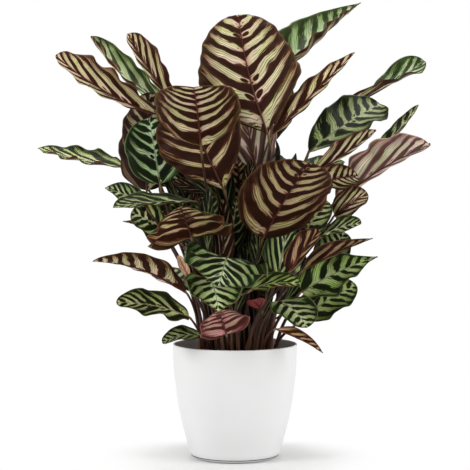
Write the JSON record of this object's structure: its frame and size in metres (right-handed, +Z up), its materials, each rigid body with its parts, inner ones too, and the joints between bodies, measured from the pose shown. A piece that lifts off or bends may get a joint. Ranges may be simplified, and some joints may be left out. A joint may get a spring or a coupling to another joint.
{
  "type": "potted calathea",
  "caption": "Potted calathea: broad striped leaves, green above and purple-brown below, on slim reddish stalks in a plain white tapered round pot.",
  "frame": {"origin": "centre of the pot's flat underside", "axes": "+Z up along the pot's axis, -Y towards the front of the plant, +X to its right as seen from the front"},
  "size_m": [0.5795, 0.4404, 0.6646],
  "materials": {
    "pot_white": "satin",
    "soil": "matte",
    "leaf": "satin"
  },
  "bodies": {
    "root": {"pot": "pot_white", "soil": "soil", "leaf_crown": "leaf", "leaf_round_left": "leaf", "leaf_under_left": "leaf", "leaf_round_right": "leaf", "leaf_fan_low": "leaf", "leaf_fan_mid": "leaf", "leaf_fan_high": "leaf", "leaf_spear_left": "leaf", "leaf_dark_left": "leaf", "leaf_green_left": "leaf", "leaf_small_left": "leaf", "leaf_long_left": "leaf", "leaf_rolled_left": "leaf", "leaf_inner_left": "leaf", "leaf_front_left": "leaf", "leaf_wavy_left": "leaf", "leaf_low_left": "leaf", "leaf_front_high": "leaf", "leaf_front_mid": "leaf", "leaf_front_right": "leaf", "leaf_pink": "leaf", "leaf_red_bud": "leaf", "leaf_rim_left": "leaf", "leaf_low_right": "leaf", "leaf_rim_right": "leaf", "leaf_green_right": "leaf", "leaf_back_right": "leaf", "leaf_brown_right": "leaf", "leaf_tail_right": "leaf", "leaf_pale_right": "leaf", "leaf_striped_right": "leaf", "leaf_oval_right": "leaf", "leaf_narrow_right": "leaf", "leaf_reach_right": "leaf", "leaf_top_right": "leaf", "leaf_high_right": "leaf", "leaf_tip_right": "leaf", "leaf_mid_right": "leaf", "leaf_side_right": "leaf", "leaf_inner_right": "leaf", "leaf_core_right": "leaf", "leaf_core_pale": "leaf", "leaf_core_dark": "leaf", "leaf_core_left": "leaf", "leaf_core_green": "leaf", "leaf_core_front": "leaf", "leaf_rear_low_left": "leaf", "leaf_rear_low": "leaf", "leaf_rear_low_right": "leaf", "leaf_rear_side_left": "leaf", "leaf_rear_core": "leaf", "leaf_rear_side_right": "leaf", "leaf_rear_mid_left": "leaf", "leaf_rear_mid": "leaf", "leaf_rear_mid_right": "leaf", "leaf_rear_high_left": "leaf", "leaf_rear_top": "leaf", "leaf_rear_top_right": "leaf"}
  },
  "joints": []
}
